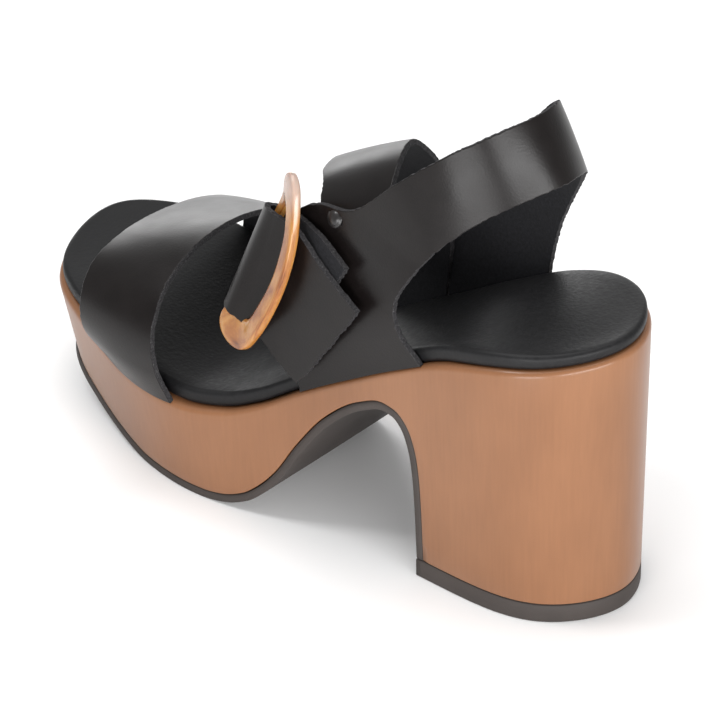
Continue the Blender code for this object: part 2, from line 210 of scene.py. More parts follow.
# %% [markdown]
# Reading the outline
#
# Every section across the shoe asks the outline the same things: where its edge is, which way leads
# inwards there, and where the middle line runs. A mesh could be cut by a plane to find out, but the
# curve is known, so it is simply looked up.

# %% An outline that can be read at any place
FAN = 14.0
PLAN_STEPS = 60


class Plan:
    """A closed outline in plan, read at any s as its edge and the way inwards from it."""

    def __init__(self, ring):
        ring = np.roll(ring, -int(np.argmin(ring[:, 0])), axis=0)
        tip = int(np.argmax(ring[:, 0]))
        run = np.roll(ring, -1, axis=0) - np.roll(ring, 1, axis=0)
        run /= np.linalg.norm(run, axis=1)[:, None]
        rows = np.column_stack([ring, run[:, 1], -run[:, 0]])
        self.rows = rows
        self.sides = {True: rows[:tip + 1], False: np.vstack([rows[tip:], rows[:1]])[::-1]}
        self.first = float(ring[0, 0])
        self.last = float(ring[tip, 0])

    def rim(self, s, outer_side):
        """The edge's w at s, then the unit direction inwards as its s and its w."""
        side = self.sides[outer_side]
        at = np.maximum.accumulate(side[:, 0])
        edge, in_s, in_w = (float(np.interp(s, at, side[:, column])) for column in (1, 2, 3))
        size = math.hypot(in_s, in_w)
        return edge, in_s / size, in_w / size

    def spine(self, s):
        """A place on the middle line, kept clear of the round ends so that they fill like a fan."""
        s = min(max(s, self.first + FAN), self.last - FAN)
        return s, (self.rim(s, True)[0] + self.rim(s, False)[0]) / 2

    def inset(self, width):
        """The outline drawn inwards by a width that may change along s."""
        step = np.array([width(s) for s in self.rows[:, 0]])
        return Plan(self.rows[:, :2] + self.rows[:, 2:] * step[:, None])


sole_plan = Plan(round_curve([(p.s, p.w) for p in OUTLINE], PLAN_STEPS))
print("sole is", round(sole_plan.last - sole_plan.first, 1), "mm long")

# %% Top edge and underside
TOP_LINE = (
    Height(0.0, 95.0), Height(25.0, 91.6), Height(46.0, 85.7), Height(66.0, 75.5),
    Height(86.0, 63.6), Height(104.0, 52.6), Height(121.0, 41.6), Height(132.0, 37.0),
    Height(148.0, 34.4), Height(180.0, 35.6), Height(214.0, 39.4), Height(SOLE_LENGTH, 43.4),
)
UNDER_LINE = (
    Height(57.5, 7.0), Height(57.7, 24.0), Height(58.2, 37.0), Height(59.6, 47.5), Height(63.0, 56.0),
    Height(67.5, 59.8), Height(72.5, 60.6), Height(82.0, 56.8), Height(95.0, 46.2), Height(106.0, 31.4),
    Height(113.0, 19.8), Height(119.0, 12.4), Height(126.0, 6.6), Height(134.0, 3.7), Height(141.0, 3.0),
    Height(166.0, 3.0), Height(180.0, 4.8), Height(203.0, 9.8), Height(SOLE_LENGTH, 23.2),
)
top_height = height_line(TOP_LINE)
under_height = height_line(UNDER_LINE)
BREAST_S = UNDER_LINE[0].s
LIFT_THICK = 6.4
OUTSOLE_THICK = 2.7
SEAT_GAP = 0.3
print("heel seat", top_height(0.0), "mm high, platform", round(top_height(150.0), 1), "mm")

# %% Walls that draw in towards the floor
HEEL_DRAW = 1.1
TOE_DRAW = 6.0
SIDE_DRAW = 0.915


def top_station(foot_s):
    """Where the wall that ends at foot_s starts along the top edge."""
    foot_length = sole_plan.last - HEEL_DRAW - TOE_DRAW
    return (foot_s - HEEL_DRAW) / foot_length * sole_plan.last


def seat_under(s):
    """Height of the unit's underside: flat under the heel, then the breast, the arch and the tread."""
    return under_height(s) if s >= BREAST_S else LIFT_THICK + SEAT_GAP


def foot_edge(foot_s, outer_side, under=None):
    """The wall's lower edge: the lower it ends, the further it has drawn in."""
    s = top_station(foot_s)
    edge, in_s, in_w = sole_plan.rim(s, outer_side)
    middle = (edge + sole_plan.rim(s, not outer_side)[0]) / 2
    under = seat_under(foot_s) if under is None else under
    lean = (1 - SIDE_DRAW) * (top_height(s) - under) / top_height(s)
    return middle + (edge - middle) * (1 - lean), in_s, in_w


def foot_spine(foot_s):
    s = min(max(foot_s, HEEL_DRAW + FAN), sole_plan.last - TOE_DRAW - FAN)
    return s, (foot_edge(s, True)[0] + foot_edge(s, False)[0]) / 2


print("walls lean in by", round(100 * (1 - SIDE_DRAW), 1), "percent at the floor")

# %% Stations along the shoe
BALL_S = 150.0
HEEL_COUNT = 41
ARCH_STEP = 1.6
TOE_COUNT = 71
LINE_STEPS = 4000


def crowd(start, stop, count):
    """Stations that crowd towards both ends, so that a round end stays round."""
    return start + (stop - start) * (1 - np.cos(np.linspace(0.0, math.pi, count))) / 2


def even_steps(start, stop, step):
    """Stations evenly spaced along the curve of the underside, however steep it is."""
    s = np.linspace(start, stop, LINE_STEPS)
    z = np.array([under_height(x) for x in s])
    run = np.concatenate([[0.0], np.cumsum(np.hypot(np.diff(s), np.diff(z)))])
    return np.interp(np.linspace(0.0, run[-1], int(run[-1] / step) + 1), run, s)


tread_end = sole_plan.last - TOE_DRAW
heel_stations = crowd(HEEL_DRAW, 2 * BREAST_S - HEEL_DRAW, 2 * HEEL_COUNT - 1)[:HEEL_COUNT]
arch_stations = even_steps(BREAST_S, BALL_S, ARCH_STEP)
toe_stations = crowd(2 * BALL_S - tread_end, tread_end, 2 * TOE_COUNT - 1)[TOE_COUNT:]
print(len(heel_stations), "heel,", len(arch_stations), "arch and", len(toe_stations), "toe stations")

# %% [markdown]
# One grid, many shapes
#
# Every piece of this shoe is a sheet or a tube. Both can start as a flat grid, whose points are then
# moved to their places: a tube is a grid whose two long edges meet, and merging the points that meet
# closes it. A round heel or toe closes by itself, because its last section has no width.

# %% Turn a finished shape into a piece
def make_piece(name, shape, materials):
    """An object at the origin, smooth shaded, that carries the given materials."""
    mesh = bpy.data.meshes.new(name)
    shape.to_mesh(mesh)
    shape.free()
    mesh.shade_smooth()
    for material in materials:
        mesh.materials.append(material)
    piece = bpy.data.objects.new(name, mesh)
    bpy.context.scene.collection.objects.link(piece)
    print(name, len(mesh.polygons), "faces")
    return piece


# %% Wrap a grid into a piece
WELD = 2e-6


def wrap_grid(name, places, materials, outward_from=None):
    """A mesh object from a grid of places in shoe millimetres, welded where places meet."""
    rows, columns = places.shape[0] - 1, places.shape[1] - 1
    cloth = bmesh.new()
    cloth.loops.layers.uv.new("UVMap")
    bmesh.ops.create_grid(cloth, x_segments=rows, y_segments=columns, size=1.0, calc_uvs=True)
    for point in cloth.verts:
        i = round((point.co.x + 1) / 2 * rows)
        j = round((point.co.y + 1) / 2 * columns)
        point.co = shoe(*places[i, j])
    bmesh.ops.remove_doubles(cloth, verts=cloth.verts, dist=WELD)
    bmesh.ops.dissolve_degenerate(cloth, edges=cloth.edges, dist=WELD)
    if outward_from is None:
        rim = [edge for edge in cloth.edges if edge.is_boundary]
        if rim:
            bmesh.ops.holes_fill(cloth, edges=rim, sides=0)
        bmesh.ops.recalc_face_normals(cloth, faces=cloth.faces)
    else:
        heart = shoe(*outward_from)
        facing_out = sum(face.normal.dot(face.calc_center_median() - heart) for face in cloth.faces)
        if facing_out < 0:
            bmesh.ops.reverse_faces(cloth, faces=cloth.faces)
    return make_piece(name, cloth, materials)


# %% [markdown]
# Finishes
#
# A finish is a Principled shader with something to say about colour, gloss and relief. Each one below
# reads the piece's own coordinates in metres, so a scale of 1000 makes spots about a millimetre wide.

# %% Start a finish and place it
def new_finish(name, roughness, specular):
    material = bpy.data.materials.new(name)
    material.use_nodes = True
    shader = material.node_tree.nodes["Principled BSDF"]
    shader.inputs["Roughness"].default_value = roughness
    shader.inputs["Specular IOR Level"].default_value = specular
    return material, material.node_tree, shader


def place_on_piece(tree, stretch=(1.0, 1.0, 1.0), source="Object"):
    coordinates = tree.nodes.new("ShaderNodeTexCoord")
    mapping = tree.nodes.new("ShaderNodeMapping")
    mapping.inputs["Scale"].default_value = stretch
    tree.links.new(coordinates.outputs[source], mapping.inputs["Vector"])
    return mapping.outputs["Vector"]


# %% Two textures: clouds and pebbles
def cloudy(tree, where, scale, detail, roughness=0.5, distortion=0.0):
    texture = tree.nodes.new("ShaderNodeTexNoise")
    texture.inputs["Scale"].default_value = scale
    texture.inputs["Detail"].default_value = detail
    texture.inputs["Roughness"].default_value = roughness
    texture.inputs["Distortion"].default_value = distortion
    tree.links.new(where, texture.inputs["Vector"])
    return texture.outputs["Fac"]


def pebbles(tree, where, scale):
    texture = tree.nodes.new("ShaderNodeTexVoronoi")
    texture.feature = "SMOOTH_F1"
    texture.inputs["Scale"].default_value = scale
    texture.inputs["Smoothness"].default_value = 0.6
    tree.links.new(where, texture.inputs["Vector"])
    return texture.outputs["Distance"]


# %% From a texture to colour, gloss and relief
def ramp(tree, value, stops):
    colours = tree.nodes.new("ShaderNodeValToRGB")
    band = colours.color_ramp
    while len(band.elements) < len(stops):
        band.elements.new(0.5)
    for element, (position, colour) in zip(band.elements, stops):
        element.position = position
        element.color = (*colour, 1.0)
    tree.links.new(value, colours.inputs["Fac"])
    return colours.outputs["Color"]


def tint(tree, shader, value, stops):
    tree.links.new(ramp(tree, value, stops), shader.inputs["Base Color"])


def spread(tree, value, low, high):
    """Stretches a texture's middle range to run from low to high."""
    reach = tree.nodes.new("ShaderNodeMapRange")
    reach.inputs["From Min"].default_value = 0.3
    reach.inputs["From Max"].default_value = 0.7
    reach.inputs["To Min"].default_value = low
    reach.inputs["To Max"].default_value = high
    tree.links.new(value, reach.inputs["Value"])
    return reach.outputs["Result"]


def relief(tree, shader, height, depth, strength, under=None):
    bump = tree.nodes.new("ShaderNodeBump")
    bump.inputs["Strength"].default_value = strength
    bump.inputs["Distance"].default_value = depth
    tree.links.new(height, bump.inputs["Height"])
    if under is not None:
        tree.links.new(under, bump.inputs["Normal"])
    tree.links.new(bump.outputs["Normal"], shader.inputs["Normal"])
    return bump.outputs["Normal"]


def count_nodes(material):
    print(material.name, "is made of", len(material.node_tree.nodes), "nodes")


# %% [markdown]
# Wood-look unit
#
# The platform and heel are one moulded unit with a printed wood look under a satin lacquer. Close to,
# the print is faint: soft clouds of lighter and darker tan, and very fine upright fibres. The lacquer
# is what gives the heel its long upright highlights, so it is a thin smooth coat over a duller base.

# %% Wood-look finish
wood_look, tree, shader = new_finish("wood_look", roughness=0.42, specular=0.3)
clouds = cloudy(tree, place_on_piece(tree, (1.0, 1.0, 0.5)), scale=28.0, detail=3.0)
fibres = cloudy(tree, place_on_piece(tree, (1.0, 1.0, 0.06)), scale=900.0, detail=4.0, roughness=0.6)
tan = ramp(tree, clouds, ((0.3, (0.199, 0.085, 0.036)), (0.7, (0.252, 0.112, 0.050))))
fibre_tint = ramp(tree, fibres, ((0.25, (0.86, 0.84, 0.82)), (0.75, (1.0, 1.0, 1.0))))
blend = tree.nodes.new("ShaderNodeMix")
blend.data_type = "RGBA"
blend.blend_type = "MULTIPLY"
blend.inputs["Factor"].default_value = 0.7
tree.links.new(tan, blend.inputs["A"])
tree.links.new(fibre_tint, blend.inputs["B"])
tree.links.new(blend.outputs["Result"], shader.inputs["Base Color"])
relief(tree, shader, fibres, depth=0.00004, strength=0.15)
shader.inputs["Coat Weight"].default_value = 0.3
shader.inputs["Coat Roughness"].default_value = 0.16
count_nodes(wood_look)

# %% [markdown]
# Rubber
#
# The outsole and the heel's top piece are dull dark rubber, a little brown, with a fine moulded
# texture. It is too fine to model, so a bump of small noise breaks up the shine instead.

# %% Rubber finish
rubber, tree, shader = new_finish("rubber", roughness=0.7, specular=0.35)
speck = cloudy(tree, place_on_piece(tree), scale=1800.0, detail=3.0)
patches = cloudy(tree, place_on_piece(tree), scale=60.0, detail=2.0)
tint(tree, shader, patches, ((0.3, (0.038, 0.031, 0.028)), (0.7, (0.049, 0.040, 0.036))))
relief(tree, shader, speck, depth=0.00006, strength=0.35)
count_nodes(rubber)

# %% [markdown]
# Leather: three faces of one hide
#
# A strap is cut from one piece of hide and shows three faces. The grain side is smooth and black with
# a soft shine. The flesh side, which lies against the foot, is a matte nap. The cut edge is raw: it
# shows the fibres, a little greyer than the rest. One material with masks could hold all three, but
# three small ones are easier to tune, and Solidify can give each face its own.

# %% Grain side
grain, tree, shader = new_finish("strap_grain", roughness=0.31, specular=0.24)
where = place_on_piece(tree)
pores = pebbles(tree, where, scale=1500.0)
clouds = cloudy(tree, where, scale=90.0, detail=4.0)
tint(tree, shader, clouds, ((0.3, (0.0050, 0.0037, 0.0036)), (0.7, (0.0074, 0.0056, 0.0054))))
tree.links.new(spread(tree, clouds, low=0.28, high=0.35), shader.inputs["Roughness"])
relief(tree, shader, pores, depth=0.00008, strength=0.22)
count_nodes(grain)

# %% Flesh side
flesh, tree, shader = new_finish("strap_flesh", roughness=0.95, specular=0.12)
where = place_on_piece(tree)
nap = cloudy(tree, where, scale=1100.0, detail=6.0, roughness=0.7)
tint(tree, shader, nap, ((0.3, (0.004, 0.004, 0.005)), (0.72, (0.013, 0.013, 0.016))))
relief(tree, shader, nap, depth=0.0002, strength=0.6)
shader.inputs["Sheen Weight"].default_value = 0.05
shader.inputs["Sheen Roughness"].default_value = 0.6
count_nodes(flesh)

# %% Raw cut edge
raw_edge, tree, shader = new_finish("strap_edge", roughness=0.85, specular=0.25)
where = place_on_piece(tree)
threads = cloudy(tree, where, scale=1600.0, detail=5.0, roughness=0.75)
tint(tree, shader, threads, ((0.35, (0.011, 0.010, 0.011)), (0.58, (0.033, 0.032, 0.034)),
                             (0.76, (0.13, 0.126, 0.126))))
relief(tree, shader, threads, depth=0.00025, strength=0.7)
count_nodes(raw_edge)

# %% [markdown]
# Insole leather
#
# The footbed is wrapped in a softer, thinner leather. Its grain is coarser and easy to see on the
# forefoot, so two sizes of relief are laid over each other: pebbles and the fine lines between them.

# %% Insole finish
insole_leather, tree, shader = new_finish("insole_leather", roughness=0.48, specular=0.24)
where = place_on_piece(tree)
warp = cloudy(tree, where, scale=500.0, detail=3.0, roughness=0.6, distortion=0.6)
grain_cells = pebbles(tree, where, scale=800.0)
tint(tree, shader, warp, ((0.3, (0.0060, 0.0060, 0.0066)), (0.7, (0.0100, 0.0098, 0.0106))))
tree.links.new(spread(tree, warp, low=0.44, high=0.56), shader.inputs["Roughness"])
fine = relief(tree, shader, grain_cells, depth=0.00016, strength=0.26)
relief(tree, shader, warp, depth=0.0003, strength=0.2, under=fine)
count_nodes(insole_leather)

# %% [markdown]
# Horn-look resin
#
# The buckle is cast resin that looks like polished horn: honey and amber along the bar, and dark streaks
# that follow it. Its colour turns pale and pinkish towards the top of the frame. The streaks follow the
# ring, so they read the UV map, in which u runs round the frame and v round the section of the bar.

# %% Horn finish
horn, tree, shader = new_finish("horn_resin", roughness=0.2, specular=0.45)
along_bar = place_on_piece(tree, (9.0, 4.0, 1.0), "UV")
streaks = cloudy(tree, along_bar, scale=1.0, detail=5.0, roughness=0.62, distortion=0.5)
amber = ramp(tree, streaks, ((0.30, (0.085, 0.022, 0.005)), (0.42, (0.25, 0.080, 0.014)),
                             (0.54, (0.37, 0.155, 0.034)), (0.72, (0.46, 0.24, 0.075))))
height_on_shoe = tree.nodes.new("ShaderNodeSeparateXYZ")
tree.links.new(place_on_piece(tree), height_on_shoe.inputs["Vector"])
# From 115 mm up to 127 mm above the floor the colour turns pale and pinkish, and stays so above.
top_paling = tree.nodes.new("ShaderNodeMapRange")
top_paling.interpolation_type = "SMOOTHSTEP"
top_paling.inputs["From Min"].default_value = 0.115
top_paling.inputs["From Max"].default_value = 0.127
top_paling.inputs["To Max"].default_value = 0.85
tree.links.new(height_on_shoe.outputs["Z"], top_paling.inputs["Value"])
tip_blend = tree.nodes.new("ShaderNodeMix")
tip_blend.data_type = "RGBA"
tip_blend.inputs["B"].default_value = (0.47, 0.36, 0.31, 1.0)
tree.links.new(top_paling.outputs["Result"], tip_blend.inputs["Factor"])
tree.links.new(amber, tip_blend.inputs["A"])
tree.links.new(tip_blend.outputs["Result"], shader.inputs["Base Color"])
shader.inputs["Coat Weight"].default_value = 0.3
shader.inputs["Coat Roughness"].default_value = 0.08
shader.inputs["Subsurface Weight"].default_value = 0.08
shader.inputs["Subsurface Scale"].default_value = 0.002
count_nodes(horn)

# %% [markdown]
# Platform and heel
#
# On the real shoe this is one moulding: flat on top, with a rounded shoulder, walls that lean in a
# little towards the floor, and an arch cut through below. It could be carved with Booleans, but its
# walls bend both ways at once. So it is drawn as sections across the shoe, like the ribs of a boat.

# %% Sections of the unit
SHOULDER = 2.2
FOOT_ROUND = 0.5
WALL_ROWS = 12
TOP_SHARES = (0.0, 0.35, 0.7)
UNDER_SHARES = (0.6, 0.3, 0.0)
quarter_turn = np.linspace(0.0, math.pi / 2, 6)


def unit_half(foot_s, outer_side):
    """Half a section: out along the top, over the shoulder, down the wall and in below."""
    s = top_station(foot_s)
    edge, in_s, in_w = sole_plan.rim(s, outer_side)
    foot = foot_edge(foot_s, outer_side)[0]
    middle_s, middle_w = sole_plan.spine(s)
    half = []
    for share in TOP_SHARES:
        at_s = middle_s + (s + in_s * SHOULDER - middle_s) * share
        half.append((at_s, middle_w + (edge + in_w * SHOULDER - middle_w) * share, top_height(at_s)))
    for angle in quarter_turn:
        back = SHOULDER * (1 - math.sin(angle))
        drop = SHOULDER * (1 - math.cos(angle))
        half.append((s + in_s * back, edge + in_w * back, top_height(s + in_s * back) - drop))
    top = top_height(s) - SHOULDER
    under = seat_under(foot_s) + FOOT_ROUND
    for share in np.linspace(0.0, 1.0, WALL_ROWS)[1:-1]:
        half.append((s + (foot_s - s) * share, edge + (foot - edge) * share,
                     top + (under - top) * share))
    for angle in quarter_turn[::2]:
        back = FOOT_ROUND * (1 - math.cos(angle))
        half.append((foot_s + in_s * back, foot + in_w * back, under - FOOT_ROUND * math.sin(angle)))
    low_s, low_w = foot_spine(foot_s)
    for share in UNDER_SHARES:
        at_s = low_s + (foot_s + in_s * FOOT_ROUND - low_s) * share
        half.append((at_s, low_w + (foot + in_w * FOOT_ROUND - low_w) * share,
                     seat_under(low_s) + (under - FOOT_ROUND - seat_under(low_s)) * share))
    return half


def unit_section(foot_s):
    return unit_half(foot_s, True) + unit_half(foot_s, False)[::-1]


unit_stations = np.concatenate([heel_stations[:-1], arch_stations, toe_stations])
unit_sections = np.array([unit_section(s) for s in unit_stations])
platform_unit = wrap_grid("platform_unit", unit_sections, [wood_look])
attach(platform_unit, "root")
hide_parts("platform_heel")

# %% [markdown]
# Outsole
#
# A sheet of rubber is glued under the forefoot, over the arch and down the breast of the heel. Solidify
# could thicken a copy of the underside, but the rubber has to end flush with the wall. So it is drawn by
# walking along the underside and stepping straight out of it by the rubber's thickness.

# %% Rubber outsole
OUTSOLE_ROUND = 0.5


def outsole_sections():
    stations = np.concatenate([arch_stations, toe_stations])
    line = np.array([(s, under_height(s)) for s in stations])
    run = np.gradient(line, axis=0)
    run /= np.linalg.norm(run, axis=1)[:, None]
    out_of_wood = np.stack([run[:, 1], -run[:, 0]], axis=1)
    out_of_wood[0] = (1.0, 0.0)
    fan_start = int(np.searchsorted(stations, tread_end - FAN)) - 1
    deep = SEAT_GAP + OUTSOLE_THICK
    profile = ((SEAT_GAP, 0.0), (SEAT_GAP + OUTSOLE_THICK * 0.4, 0.0), (deep - OUTSOLE_ROUND, 0.0),
               (deep - OUTSOLE_ROUND * 0.3, OUTSOLE_ROUND * 0.3), (deep, OUTSOLE_ROUND))
    sections = []
    for i, s in enumerate(stations):
        halves = []
        for outer_side in (True, False):
            edge, in_s, in_w = foot_edge(s, outer_side)
            half = []
            for depth, back in profile:
                at_s, at_z = line[i] + out_of_wood[i] * depth
                half.append(np.array((at_s + in_s * back, edge + in_w * back, max(0.0, at_z))))
            hub = min(i, fan_start)
            middle = []
            for depth in (SEAT_GAP, deep):
                at_s, at_z = line[hub] + out_of_wood[hub] * depth
                middle.append(np.array((at_s, foot_spine(stations[hub])[1], max(0.0, at_z))))
            upper = [middle[0], (middle[0] + half[0]) / 2]
            lower = [(middle[1] + half[-1]) / 2, middle[1]]
            halves.append(upper + half + lower)
        sections.append(halves[0] + halves[1][::-1])
    return np.array(sections)


outsole_sheet = wrap_grid("outsole_sheet", outsole_sections(), [rubber])
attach(outsole_sheet, "root")
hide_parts("outsole")

# %% [markdown]
# Top piece
#
# The wearing piece under the heel is a thicker slab of the same rubber, nailed on flush with the heel.
# An extruded outline with a bevel would do, but then its edge would have to be matched to the wall by
# hand. Drawn in sections, it follows the same outline as the wall above it.

# %% Heel top piece
LIFT_ROUND = 0.6
LIFT_EASE = 0.25
LIFT_PROFILE = (
    (LIFT_EASE, LIFT_THICK), (0.0, LIFT_THICK - LIFT_EASE), (0.0, LIFT_THICK * 0.5),
    (0.0, LIFT_ROUND), (LIFT_ROUND * 0.3, LIFT_ROUND * 0.3), (LIFT_ROUND, 0.0),
)
lift_front = BREAST_S + SEAT_GAP + OUTSOLE_THICK


def lift_section(s):
    middle_s, middle_w = foot_spine(s)
    halves = []
    for outer_side in (True, False):
        edge, in_s, in_w = foot_edge(s, outer_side, LIFT_THICK)
        half = [np.array((s + in_s * back, edge + in_w * back, z)) for back, z in LIFT_PROFILE]
        above = np.array((middle_s, middle_w, LIFT_THICK))
        below = np.array((middle_s, middle_w, 0.0))
        halves.append([above, (above + half[0]) / 2] + half + [(below + half[-1]) / 2, below])
    return halves[0] + halves[1][::-1]


lift_stations = crowd(HEEL_DRAW, 2 * lift_front - HEEL_DRAW, 2 * HEEL_COUNT - 1)[:HEEL_COUNT]
lift_sections = np.array([lift_section(s) for s in lift_stations])
heel_top_piece = wrap_grid("heel_top_piece", lift_sections, [rubber])
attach(heel_top_piece, "root")
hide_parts("heel_lift")

# %% [markdown]
# Footbed
#
# The insole is a thin pad wrapped in leather. Its edge is a soft roll that tucks under, and the middle
# is pressed a little hollow for the foot. It leaves a narrow ledge of the platform free all round,
# wider where the straps go down. A cloth simulation could puff it up, but a thin glued pad hardly
# swells, so its roll and hollow are drawn into its sections.

# %% How thick the pad is
STRAP_LEDGE = 2.7
END_LEDGE = 1.3
LEDGE_LINE = (
    Height(0.0, END_LEDGE), Height(32.0, END_LEDGE), Height(56.0, STRAP_LEDGE),
    Height(196.0, STRAP_LEDGE), Height(212.0, END_LEDGE), Height(SOLE_LENGTH, END_LEDGE),
)
INSOLE_THICK = 5.4
TOE_THINNING = 1.8
TOE_FROM = 204.0
TOE_RUN = 32.0
HEEL_THINNING = 1.2
HEEL_RUN = 40.0
ROLL = 1.7
HOLLOW = 0.6
bed_plan = sole_plan.inset(height_line(LEDGE_LINE))


def bed_thickness(s):
    """The pad thins out under the toes and towards the back of the heel."""
    toe = min(max((s - TOE_FROM) / TOE_RUN, 0.0), 1.0)
    heel = min(max((HEEL_RUN - s) / HEEL_RUN, 0.0), 1.0)
    thinning = TOE_THINNING * toe * toe * (3 - 2 * toe) + HEEL_THINNING * heel * heel * (3 - 2 * heel)
    return INSOLE_THICK - thinning


print("pad from", round(bed_thickness(0.0), 1), "to", round(bed_thickness(120.0), 1), "mm thick")

# %% Padded footbed
BED_COUNT = 150
CROWN_ROWS = 10
FULL_WIDTH = 50.0
TUCK = ((0.0, 1.5), (0.25, 0.6), (0.8, 0.0))


def footbed_section(s):
    middle_s, middle_w = bed_plan.spine(s)
    width = bed_plan.rim(middle_s, True)[0] - bed_plan.rim(middle_s, False)[0]
    hollow = HOLLOW * min(1.0, width / FULL_WIDTH)
    halves = []
    for outer_side in (True, False):
        edge, in_s, in_w = bed_plan.rim(s, outer_side)
        half = []
        reach = edge + in_w * ROLL - middle_w
        for share in np.linspace(0.0, 1.0, CROWN_ROWS)[:-1]:
            at_s = middle_s + (s + in_s * ROLL - middle_s) * share
            top = top_height(at_s) + SEAT_GAP + bed_thickness(at_s)
            half.append((at_s, middle_w + reach * share, top - hollow * (1 - share ** 3)))
        for angle in quarter_turn:
            back = ROLL * (1 - math.sin(angle))
            at_s = s + in_s * back
            top = top_height(at_s) + SEAT_GAP + bed_thickness(at_s)
            half.append((at_s, edge + in_w * back, top - ROLL * (1 - math.cos(angle))))
        base = top_height(s) + SEAT_GAP
        for back, z in TUCK:
            half.append((s + in_s * back, edge + in_w * back, base + z))
        under = top_height(middle_s) + SEAT_GAP
        half.append(((s + middle_s) / 2, (edge + middle_w) / 2, (base + under) / 2))
        half.append((middle_s, middle_w, under))
        halves.append(half)
    return halves[0] + halves[1][::-1]


bed_stations = crowd(bed_plan.first, bed_plan.last, BED_COUNT)
bed_sections = np.array([footbed_section(s) for s in bed_stations])
footbed = wrap_grid("footbed", bed_sections, [insole_leather])
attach(footbed, "root")
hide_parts("insole")

# %% [markdown]
# Straps
#
# A strap is a flat strip that bends but hardly stretches. So it is drawn by its two cut edges: a short
# table gives where the back and the front edge pass, and the strip is ruled between them. The Solidify
# modifier then gives the sheet the thickness of the hide, with one material for each of its faces, and
# a small bevel takes the sharpness off the cut.

# %% Rough cut edges
EDGE_FRAY = 0.32
EDGE_PITCH = 0.9
END_FRAY = 0.7
END_PITCH = 1.3
CORNER_LOSS = 0.5
CORNER_POWER = 12
END_ROWS = 6


def fray(sheet):
    """Roughens the two long edges by a fraction of a millimetre, as a knife leaves them."""
    for j, inside in ((0, 1), (-1, -2)):
        outwards = sheet[:, j] - sheet[:, inside]
        outwards /= np.linalg.norm(outwards, axis=1)[:, None]
        for i in range(len(sheet)):
            sheet[i, j] += outwards[i] * EDGE_FRAY * noise.noise(Vector(sheet[i, j]) * EDGE_PITCH)
    return sheet


def fray_ends(sheet):
    """Roughens the two ends as well, and takes their corners off a little."""
    share = np.linspace(-1.0, 1.0, sheet.shape[1])
    for ends in (range(0, END_ROWS), range(-1, -END_ROWS - 1, -1)):
        last, inside = sheet[ends[0]].copy(), sheet[ends[-1]].copy()
        outwards = (last - inside) / np.linalg.norm(last - inside, axis=1)[:, None]
        ragged = np.array([END_FRAY * noise.noise(Vector(p) * END_PITCH) for p in last])
        reach = ragged - CORNER_LOSS * np.abs(share) ** CORNER_POWER
        for k, i in enumerate(ends):
            sheet[i] += outwards * (reach * (1 - k / END_ROWS))[:, None]
    return sheet


# %% A strip between two edges
StrapRow = namedtuple("StrapRow", "back_s back_w back_z front_s front_w front_z")
LIFT_OFF = 0.05


def ledge_place(s, outer_side, seat):
    """Where a strap's foot goes down, at a distance inside the platform's edge."""
    edge, in_s, in_w = sole_plan.rim(s, outer_side)
    over_shoulder = min(max(1 - seat / SHOULDER, 0.0), 1.0)
    drop = SHOULDER * (1 - math.sqrt(1 - over_shoulder ** 2))
    return np.array((s, edge + in_w * seat, top_height(s) + LIFT_OFF - drop))


def strip(rows, per_span, across, belly=0.0, foot_start=None, foot_end=None, fade=0.2,
          seat=STRAP_LEDGE / 2):
    """A grid of places between two edges; an end that is given a side goes down on the ledge there."""
    back = edge_curve([row[0:3] for row in rows], per_span)
    front = edge_curve([row[3:6] for row in rows], per_span)
    count = len(back)
    share = np.linspace(0.0, 1.0, across + 1)
    sheet = back[:, None, :] * (1 - share)[None, :, None] + front[:, None, :] * share[None, :, None]
    for end, outer_side in ((0, foot_start), (count - 1, foot_end)):
        if outer_side is None:
            continue
        shift = np.array([ledge_place(p[0], outer_side, seat) - p for p in sheet[end]])
        for i in range(count):
            gone = abs(i - end) / (count - 1) / fade
            if gone < 1.0:
                sheet[i] += shift * (1 - gone * gone * (3 - 2 * gone))
    along = np.gradient(sheet, axis=0)
    over = np.gradient(sheet, axis=1)
    normal = np.cross(along, over)
    normal /= np.linalg.norm(normal, axis=2)[:, :, None]
    sheet = sheet + normal * (4 * share * (1 - share) * belly)[None, :, None]
    return fray(sheet)


# %% Give a strip the thickness of the hide
HIDE = 2.0
CUT_SOFTNESS = 0.35
CUT_ANGLE = math.radians(50)


def cut_strap(name, sheet, node):
    middle = sheet.reshape(-1, 3).mean(axis=0)
    strap = wrap_grid(name, sheet, [grain, flesh, raw_edge], outward_from=middle)
    thickness = strap.modifiers.new("hide", "SOLIDIFY")
    thickness.thickness = HIDE * MM
    thickness.offset = 0.0
    thickness.use_even_offset = True
    thickness.material_offset = 1
    thickness.material_offset_rim = 2
    softened = strap.modifiers.new("soft cut", "BEVEL")
    softened.width = CUT_SOFTNESS * MM
    softened.segments = 2
    softened.profile = 0.5
    softened.limit_method = "ANGLE"
    softened.angle_limit = CUT_ANGLE
    softened.material = -1
    softened.harden_normals = True
    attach(strap, "root")
    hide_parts(node)
    return strap


# %% Toe band
TOE_BAND = (
    StrapRow(150.0, 45.0, 34.6, 186.0, 39.8, 36.0),
    StrapRow(152.5, 48.4, 46.0, 187.4, 45.0, 46.0),
    StrapRow(154.0, 48.2, 58.5, 187.8, 45.2, 57.4),
    StrapRow(156.0, 41.0, 69.5, 190.0, 38.0, 65.2),
    StrapRow(159.0, 25.0, 76.0, 193.0, 22.0, 67.4),
    StrapRow(162.0, 4.0, 76.0, 195.8, 1.0, 65.2),
    StrapRow(164.0, -18.0, 70.0, 197.4, -21.0, 59.8),
    StrapRow(165.0, -34.0, 59.0, 197.8, -35.5, 52.6),
    StrapRow(165.5, -40.5, 46.0, 197.8, -40.4, 45.0),
    StrapRow(165.5, -38.0, 35.2, 197.6, -39.2, 37.4),
)
toe_sheet = strip(TOE_BAND, per_span=24, across=16, belly=0.8, foot_start=True, foot_end=False,
                  fade=0.18, seat=0.7)
